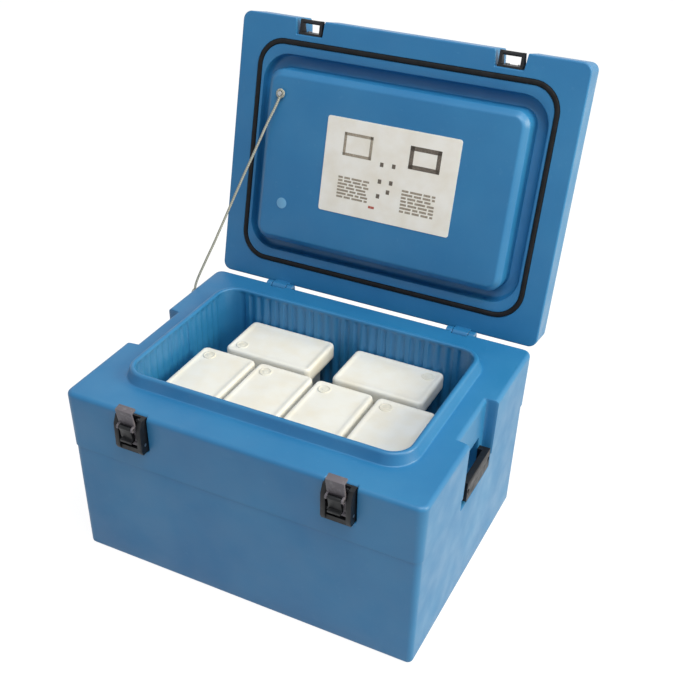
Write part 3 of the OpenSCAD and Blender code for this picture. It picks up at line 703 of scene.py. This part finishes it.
def lid_skin():
    """Crown, notched wall, flange with the seal's groove, channel, plug and bevel, as one surface."""
    x_spots = spots(95, HALF_X - CORNER_R, [s * SIDE_X + e * NOTCH_HALF for s in (-1, 1) for e in (-1, 1)])
    stations = ring_stations(x_spots, np.linspace(-1, 1, 41), 9)
    away = np.abs(np.abs(stations[0] * (HALF_X - CORNER_R)) - SIDE_X)
    notch = (stations[3] < -0.999) * step(NOTCH_HALF - away)

    def outer(z, edge=0):
        """Row of the lid's wall, with its draft and the two latch notches."""
        draft = LID_DRAFT * np.clip((z - FLANGE_Z) / (LID_TOP - CROWN - FLANGE_Z), 0, 1)
        return ring(stations, HALF_X, HALF_Y, CORNER_R, z, draft + notch * (NOTCH_DEEP - draft) + edge)

    def seal_ring(out, z):
        """Row that stands the given distance outside the seal's middle line."""
        return ring(stations, HALF_X - SEAL_IN + out, HALF_Y - SEAL_IN + out, SEAL_R + out, z)

    def plug_ring(out, z):
        """Row that stands the given distance outside the plug's outline."""
        return ring(stations, PLUG_X + out, PLUG_Y + out, max(PLUG_R + out, 4 * MM), z)

    rows = [ring(stations, HALF_X - d, HALF_Y - d, CORNER_R, LID_TOP) for d in (160 * MM, 70 * MM)]
    crown_edge = outer(LID_TOP - CROWN, CROWN_IN)
    crown_edge[:, 2] = LID_TOP
    rows.append(shelf(stations, NOTCH_DEEP + CROWN_IN + 3 * MM, LID_TOP))
    rows += [rows[-1] + (crown_edge - rows[-1]) * t for t in (0.5, 0.95)]
    for angle in ROUND[::-1]:
        row = outer(LID_TOP - CROWN, CROWN_IN * (1 - math.cos(angle)))
        row[:, 2] = LID_TOP - CROWN * (1 - math.sin(angle))
        rows.append(row)
    rows += [outer(z * MM) for z in (420, 405, 390, 380)]
    for angle in ROUND:
        row = outer(FLANGE_Z + LID_EDGE, LID_EDGE * (1 - math.cos(angle)))
        row[:, 2] = FLANGE_Z + LID_EDGE * (1 - math.sin(angle))
        rows.append(row)
    flange_edge, flange_shelf = rows[-1], shelf(stations, NOTCH_DEEP + LID_EDGE + 1 * MM, FLANGE_Z)
    rows += [flange_edge + (flange_shelf - flange_edge) * t for t in (0.03, 0.5, 1)]
    rows += [seal_ring(SEAL_HALF + SEAL_LIP, FLANGE_Z), seal_ring(SEAL_HALF, FLANGE_Z + SEAL_LIP),
             seal_ring(SEAL_HALF, SEAL_ROOF), seal_ring(-SEAL_HALF, SEAL_ROOF),
             seal_ring(-SEAL_HALF, FLANGE_Z + SEAL_LIP), seal_ring(-SEAL_HALF - SEAL_LIP, FLANGE_Z)]
    gap = CHANNEL_OUT + 6 * MM
    for out, up in ((gap + 2.5 * MM, 0), (gap + 0.8 * MM, 0.8 * MM), (gap, 2.5 * MM)):
        rows.append(plug_ring(out, FLANGE_Z + up))
    for out, down in ((gap, 7), (gap - 1.5 * MM, 3), (gap - 6 * MM, 0), (7 * MM, 0), (2 * MM, 2), (0, 6)):
        rows.append(plug_ring(out, CHANNEL_TOP - down * MM))
    low = PLUG_Z + PLUG_BEVEL
    for inset, up in ((0, 3), (0.6, 0), (1.6, -1.2), (6, -6.5), (10.6, -11), (12.5, -11.8), (15, -12)):
        rows.append(plug_ring(-inset * MM, low + up * MM))
    rows += [plug_ring(-60 * MM, PLUG_Z), ring(stations, 110 * MM, 60 * MM, 20 * MM, PLUG_Z)]
    poles = opened([[0, 0, LID_TOP], [0, 0, PLUG_Z]])
    skin = closed_skin("lid_skin", opened(np.array(rows)), poles[0], poles[1])
    finish_piece(skin, BLUE, "lid", "blue_shell", "lid_shell")


def lid_knuckles():
    """Hinge knuckles of the lid: a circle round the pin with a tapering root up into the lid's wall."""
    head = arc_points((AXIS_Y, AXIS_Z), KNUCKLE_R, 180, 360, 15)
    root = [[AXIS_Y + KNUCKLE_R, FLANGE_Z], [HALF_Y - 1 * MM, FLANGE_Z + 26 * MM],
            [AXIS_Y - KNUCKLE_R, FLANGE_Z + 26 * MM]]
    profile = np.vstack([head, root])
    piece = prism("lid_knuckles", profile, [-SIDE_X - KNUCKLE_HALF, SIDE_X - KNUCKLE_HALF],
                  [-SIDE_X + KNUCKLE_HALF, SIDE_X + KNUCKLE_HALF])
    points = opened([v.co[:] for v in piece.data.vertices])
    piece.data.vertices.foreach_set("co", points.astype(np.float32).ravel())
    finish_piece(rounded(piece, 1.2 * MM), BLUE, "lid", "blue_shell")


def seal():
    """Bulb seal: a D section, its flat in the groove and its crown below the flange, carried round."""
    stations = ring_stations(np.linspace(-1, 1, 61), np.linspace(-1, 1, 41), 12)
    section = [(-4.8, 4.8), (4.8, 4.8), (4.9, 1.2), (4.5, -0.6), (3.4, -1.7), (1.7, -2.1), (0, -2.2),
               (-1.7, -2.1), (-3.4, -1.7), (-4.5, -0.6), (-4.9, 1.2)]
    rows = [opened(ring(stations, HALF_X - SEAL_IN + o * MM, HALF_Y - SEAL_IN + o * MM, SEAL_R + o * MM,
                        FLANGE_Z + up * MM)) for o, up in section]
    finish_piece(closed_loop("bulb_seal", rows), RUBBER, "lid", "gasket_rubber", "gasket")


def card_sheet():
    """Card with rounded corners, with its thickness on the plug's face."""
    stations = ring_stations(np.linspace(-1, 1, 9), np.linspace(-1, 1, 7), 5)
    rows = [ring(stations, CARD_W / 2 - inset * MM, CARD_H / 2 - inset * MM, (CARD_R - inset) * MM,
                 PLUG_Z + up * MM) for inset, up in ((0, 0.2), (0, -0.7), (0.3, -1), (1.5, -1), (3, -1))]
    poles = opened([[CARD_X, CARD_Y, PLUG_Z + 0.2 * MM], [CARD_X, CARD_Y, PLUG_Z - CARD_T]])
    rows = opened(np.array(rows) + [CARD_X, CARD_Y, 0])
    finish_piece(closed_skin("card_sheet", rows, poles[0], poles[1]), CARD, "lid", "printed_card", "card")


def printed(name, material, marks):
    """Thin printed marks on the card, each (left, top, width, height) as fractions of the card."""
    z_low, z_high = PLUG_Z - CARD_T - INK_HIGH, PLUG_Z - CARD_T + 0.05 * MM
    points, faces = [], []
    for left, top, width, height in marks:
        x0, y0 = CARD_X + (left - 0.5) * CARD_W, CARD_Y + (top - 0.5) * CARD_H
        x1, y1 = x0 + width * CARD_W, y0 + height * CARD_H
        base = 8 * len(points)
        corners = ((x0, y0), (x1, y0), (x1, y1), (x0, y1))
        points.append([[x, y, z] for z in (z_low, z_high) for x, y in corners])
        faces += [[base + v for v in f] for f in ((0, 3, 2, 1), (4, 5, 6, 7), (0, 1, 5, 4), (1, 2, 6, 5),
                                                  (2, 3, 7, 6), (3, 0, 4, 7))]
    piece = mesh_object(name, opened(np.array(points).reshape(-1, 3)), faces)
    piece.data.polygons.foreach_set("use_smooth", np.zeros(len(piece.data.polygons), bool))
    finish_piece(piece, material, "lid", "printed_card")


def frame_marks(left, top, right, bottom, line):
    """Four bars of one width that make a frame."""
    tall = line * CARD_W / CARD_H
    return [(left, top, right - left, tall), (left, bottom - tall, right - left, tall),
            (left, top, line, bottom - top), (right - line, top, line, bottom - top)]


def bar_block(left, top, right, bottom, rows, seed):
    """Rows of short bars of uneven length, which stand for plain copy."""
    rng = np.random.default_rng(seed)
    pitch = (bottom - top) / rows
    marks = []
    for i in range(rows):
        x = left
        while x < right - 0.02:
            width = min(rng.uniform(0.03, 0.09), right - x)
            marks.append((x, top + i * pitch, width, pitch * 0.62))
            x += width + 0.012
    return marks


def card_print():
    """Generic frames, bars and dots in the places of the card's printed matter."""
    printed("card_frame_left", INK_GREY, frame_marks(0.14, 0.14, 0.36, 0.38, 0.020))
    printed("card_frame_right", INK_DARK, frame_marks(0.64, 0.15, 0.87, 0.385, 0.030))
    printed("card_bars_left", INK_GREY, bar_block(0.13, 0.60, 0.37, 0.84, 7, 3))
    printed("card_bars_right", INK_GREY, bar_block(0.62, 0.61, 0.87, 0.86, 7, 8))
    dots = [(0.445, 0.40), (0.535, 0.395), (0.445, 0.575), (0.53, 0.57), (0.445, 0.73), (0.515, 0.67)]
    printed("card_dots", INK_DARK, [(x - 0.012, y - 0.022, 0.026, 0.045) for x, y in dots])
    printed("card_red_bar", INK_RED, [(0.385, 0.85, 0.045, 0.025)])


def pack_skin(name, node, centre, turned, seed):
    """Blow-moulded pack: rounded slab with bowed faces, a raised border and a shallow sunk panel."""
    low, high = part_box(node)
    base, taller = low.z, (high.z - low.z) / PACK_THICK
    stations = ring_stations(np.linspace(-1, 1, 25), np.linspace(-1, 1, 17), 6)
    profile = [(50, 1.2), (14, 0.6), (8, 0.1), (4, 0.4), (1.8, 2), (0.4, 5.5), (0, 11), (0.3, 17), (0, 23),
               (0.3, 28.5), (1.2, 31.6), (2.9, 33.4), (5, 34), (8.5, 33.9), (11, 33), (13, 32.5), (20, 32.6),
               (50, 33)]
    rows = [ring(stations, PACK_LONG / 2 - inset * MM, PACK_WIDE / 2 - inset * MM, max(12 - inset, 3) * MM,
                 base + up * MM * taller) for inset, up in profile]
    rows = np.array(rows)
    poles = np.array([[0, 0, base + 1.3 * MM], [0, 0, base + 33.1 * MM]])
    if turned:
        rows = np.stack([-rows[..., 1], rows[..., 0], rows[..., 2]], axis=-1)
    rng = np.random.default_rng(seed)
    lean = abs(rng.uniform(-PACK_LEAN, PACK_LEAN))
    rows[..., 2] -= lean * (1 + rows[..., 0] / PACK_LONG) * (rows[..., 2] > base + 20 * MM)
    rows[..., :2] += centre
    poles[:, :2] += centre
    skin = closed_skin(name, rows, poles[0], poles[1])
    finish_piece(skin, PACK_WHITE, BODY_OF[node], "white_pack", node)


def ribbed_cap(name, node):
    """Screw cap: a disc with a finger groove round its crown, and ribs on its rim as a cosine wave."""
    low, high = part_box(node)
    middle = (low + high) / 2
    radius = (high.x - low.x) / 2
    around = np.linspace(0, 2 * math.pi, 120, endpoint=False)
    rib = CAP_RIB_HIGH * np.cos(CAP_RIBS * around)
    profile = [(0.9, 0.0, 0), (1.0, 0.4, 0), (1.0, 3.8, 1), (0.97, 4.6, 1), (0.92, 5.0, 0), (0.80, 5.0, 0),
               (0.76, 4.3, 0), (0.40, 4.2, 0), (0.36, 4.7, 0), (0.1, 4.8, 0)]
    rows = []
    for share, up, ribbed in profile:
        reach = (radius - 0.4 * MM) * share + rib * ribbed
        rows.append(np.stack([middle.x + reach * np.cos(around), middle.y + reach * np.sin(around),
                              np.full_like(around, low.z + up * MM)], axis=1))
    cap = closed_skin(name, rows, [middle.x, middle.y, low.z], [middle.x, middle.y, low.z + 4.8 * MM])
    finish_piece(cap, CAP_WHITE, BODY_OF[node], "white_cap", node)


def water_packs():
    """The six flat packs and their caps, the front four turned to lie front to back."""
    for seed, place in enumerate(("back_left", "back_right", "front_1", "front_2", "front_3", "front_4")):
        node = "pack_" + place
        low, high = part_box(node)
        centre = [(low.x + high.x) / 2, (low.y + high.y) / 2]
        pack_skin(node + "_skin", node, centre, "front" in place, seed)
        ribbed_cap("cap_" + place + "_ribbed", "cap_" + place)


def softened(node, width, material, slot):
    """Copy of a solid with its loose triangles merged, its flats joined and its edges rounded."""
    mesh = frame["nodes"][node].data.copy()
    work = bmesh.new()
    work.from_mesh(mesh)
    bmesh.ops.remove_doubles(work, verts=work.verts, dist=0.01 * MM)
    bmesh.ops.dissolve_limit(work, angle_limit=math.radians(1), verts=work.verts, edges=work.edges)
    work.to_mesh(mesh)
    work.free()
    mesh.name = node + "_rounded"
    mesh.polygons.foreach_set("use_smooth", np.ones(len(mesh.polygons), bool))
    piece = bpy.data.objects.new(node + "_rounded", mesh)
    bpy.context.scene.collection.objects.link(piece)
    finish_piece(rounded(piece, width), material, BODY_OF[node], slot, node)


def fittings():
    """Grips, latches, keepers and anchors, each one its solid with rounded edges."""
    for side in ("left", "right"):
        softened("grip_" + side, 2.0 * MM, BLACK, "black_plastic")
        softened("latch_base_" + side, 1.0 * MM, BLACK, "black_plastic")
        softened("latch_hook_" + side, 0.6 * MM, GREY, "grey_plate")
        softened("latch_lever_" + side, 0.8 * MM, BLACK, "black_plastic")
        softened("keeper_" + side, 0.8 * MM, BLACK, "black_plastic")
    softened("stay_anchor_body", 0.5 * MM, BLACK, "black_plastic")
    softened("stay_anchor_lid", 0.5 * MM, STEEL, "steel")
    softened("lid_plug", 0.3 * MM, PLUG_BLUE, "light_blue_plug")


def plain_nodes():
    """Solids that keep their own mesh, with the finish of the real material."""
    finishes = {"body_foam": FOAM, "lid_foam": FOAM, "base_plug": PLUG_BLUE, "upright_caps": CAP_WHITE,
                "upright_packs": PACK_WHITE}
    for name in ("hook_pins", "hinge_pins", "latch_screws", "grip_screws", "keeper_screws",
                 "lever_pin_left", "lever_pin_right"):
        finishes[name] = STEEL
    for name, material in finishes.items():
        node = frame["nodes"][name]
        node.data.materials.clear()
        node.data.materials.append(material)


def cord_ties():
    """Turns of the cord round the post of each anchor."""
    low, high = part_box("stay_anchor_body")
    post = np.array([low.x + 4.2 * MM, (low.y + high.y) / 2, (low.z + high.z) / 2])
    finish_piece(wound_loop("cord_tie_body", post, [1, 0, 0]), CORD, "body", "cord")
    middle = opened([LID_POST])[0]
    along = opened([[0, 0, 0]])[0] - opened([[0, 0, 1]])[0]
    finish_piece(wound_loop("cord_tie_lid", middle, along), CORD, "lid", "cord")


body_skin()
hinge_ears()
lid_skin()
lid_knuckles()
seal()
card_sheet()
card_print()
water_packs()
fittings()
plain_nodes()
cord_ties()


def white_ground():
    """Wide pale floor that the camera sees as nearly white, and that still takes the object's shadow."""
    floor = mesh_object("ground", [[-40, -40, 0], [40, -40, 0], [40, 40, 0], [-40, 40, 0]], [[0, 1, 2, 3]])
    material = bpy.data.materials.new("pale_ground")
    material.use_nodes = True
    tree = material.node_tree
    shader = tree.nodes["Principled BSDF"]
    shader.inputs["Base Color"].default_value = linear("#D9DBDE")
    shader.inputs["Roughness"].default_value = 0.9
    shader.inputs["Specular IOR Level"].default_value = 0.0
    path = add_node(tree, "ShaderNodeLightPath")
    seen = add_node(tree, "ShaderNodeMath", {"operation": "MAXIMUM"}, _0=(path, "Is Camera Ray"),
                    _1=(path, "Is Glossy Ray"))
    share = add_node(tree, "ShaderNodeMath", {"operation": "MULTIPLY"}, _0=(seen, "Value"),
                     _1=GROUND_SHARE)
    glow = add_node(tree, "ShaderNodeEmission", Color=linear("#FFFFFF"), Strength=GROUND_GLOW)
    mixed = add_node(tree, "ShaderNodeMixShader", _0=(share, "Value"), _1=(shader, "BSDF"),
                     _2=(glow, "Emission"))
    tree.links.new(mixed.outputs["Shader"], tree.nodes["Material Output"].inputs["Surface"])
    floor.data.materials.append(material)


def white_world():
    """White to the camera and in reflections, and a plain soft light on everything else."""
    world = bpy.data.worlds.new("plain_world")
    world.use_nodes = True
    tree = world.node_tree
    path = add_node(tree, "ShaderNodeLightPath")
    seen = add_node(tree, "ShaderNodeMath", {"operation": "MAXIMUM"}, _0=(path, "Is Camera Ray"),
                    _1=(path, "Is Glossy Ray"))
    strength = add_node(tree, "ShaderNodeMapRange", Value=(seen, "Value"), To_Min=WORLD_LIGHT,
                        To_Max=1.0)
    background = tree.nodes["Background"]
    background.inputs["Color"].default_value = linear("#FFFFFF")
    tree.links.new(strength.outputs["Result"], background.inputs["Strength"])
    bpy.context.scene.world = world


def soft_lamp(name, place, target, size, power, colour):
    """Square soft box aimed from its place at the target."""
    data = bpy.data.lights.new(name, "AREA")
    data.shape = "SQUARE"
    data.size = size
    data.energy = power
    data.color = linear(colour)[:3]
    lamp = bpy.data.objects.new(name, data)
    bpy.context.scene.collection.objects.link(lamp)
    back = np.array(place) - np.array(target)
    back = back / np.linalg.norm(back)
    side = np.cross([0, 0, 1], back)
    side /= np.linalg.norm(side)
    matrix = Matrix(np.array([side, np.cross(back, side), back]).T.tolist()).to_4x4()
    matrix.translation = place
    lamp.matrix_world = matrix


white_ground()
white_world()
soft_lamp("right_lamp", (4.0, 0.6, 2.3), (0, 0, 0.3), 2.4, 175, "#FFF3D6")
soft_lamp("top_lamp", (1.4, -0.9, 4.2), (0, 0, 0.4), 2.6, 130, "#FAFDFF")
bpy.context.scene.view_settings.view_transform = "Standard"
